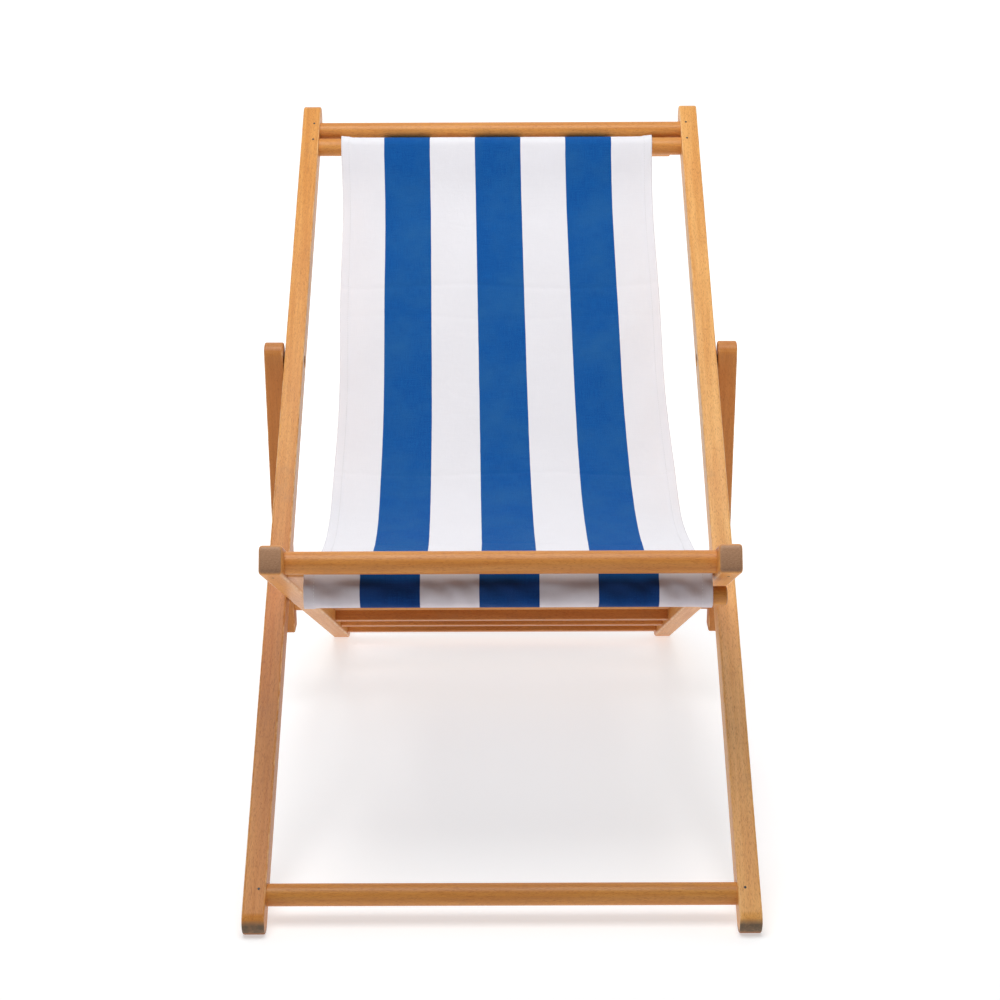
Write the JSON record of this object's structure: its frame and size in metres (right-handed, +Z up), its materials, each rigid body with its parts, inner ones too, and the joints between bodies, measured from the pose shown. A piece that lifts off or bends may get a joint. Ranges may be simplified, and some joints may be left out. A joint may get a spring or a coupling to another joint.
{
  "type": "folding deck chair",
  "caption": "Folding deck chair: two crossed wooden frames on pivot bolts, a prop frame resting in notched seat rails, and a striped cloth sling hung between dowels.",
  "frame": {"origin": "on the floor, midway between the chair's sides and midway between its foremost and rearmost points when it is open", "axes": "+X to the viewer's right seen from the front, -Y to the front where the sitter's legs go, +Z up"},
  "size_m": [0.624, 1.0186, 0.7883],
  "materials": {
    "beech": "satin varnished beech",
    "loose_rod": "plain sanded dowel",
    "sling_cloth": "plain woven cotton canvas, blue and white stripes",
    "zinc_steel": "bright zinc plate"
  },
  "bodies": {
    "back_frame": {"back_stile_left": "beech", "back_stile_right": "beech", "top_dowel": "beech", "top_sling_rail": "beech", "foot_stretcher": "beech", "sling_dowel_top": "loose_rod", "sling": "sling_cloth", "back_frame_brads": "zinc_steel", "main_pivot_bolts": "zinc_steel", "main_pivot_nuts": "zinc_steel", "main_pivot_spacers": "zinc_steel", "prop_pivot_bolts": "zinc_steel", "prop_pivot_nuts": "zinc_steel", "prop_pivot_spacers": "zinc_steel"},
    "seat_frame": {"seat_stile_left": "beech", "seat_stile_right": "beech", "front_dowel": "beech", "front_sling_rail": "beech", "sling_dowel_front": "loose_rod", "rear_slat_1": "beech", "rear_slat_2": "beech", "rear_slat_3": "beech", "seat_frame_brads": "zinc_steel"},
    "prop_frame": {"prop_arm_left": "beech", "prop_arm_right": "beech", "prop_crossbar": "beech"}
  },
  "joints": [
    {"name": "main_fold", "type": "hinge", "parent": "back_frame", "child": "seat_frame", "pos_m": [0, -0.15113, 0.27757], "axis": [-1, 0, 0], "range_deg": [0, 112], "deforming": ["sling"]},
    {"name": "prop_swing", "type": "hinge", "parent": "back_frame", "child": "prop_frame", "pos_m": [0, 0.13209, 0.4949], "axis": [-1, 0, 0], "range_deg": [0, 50.4]}
  ],
  "couplings": [
    {"joint": "prop_swing", "follows": "main_fold", "ratio": 0.448}
  ]
}
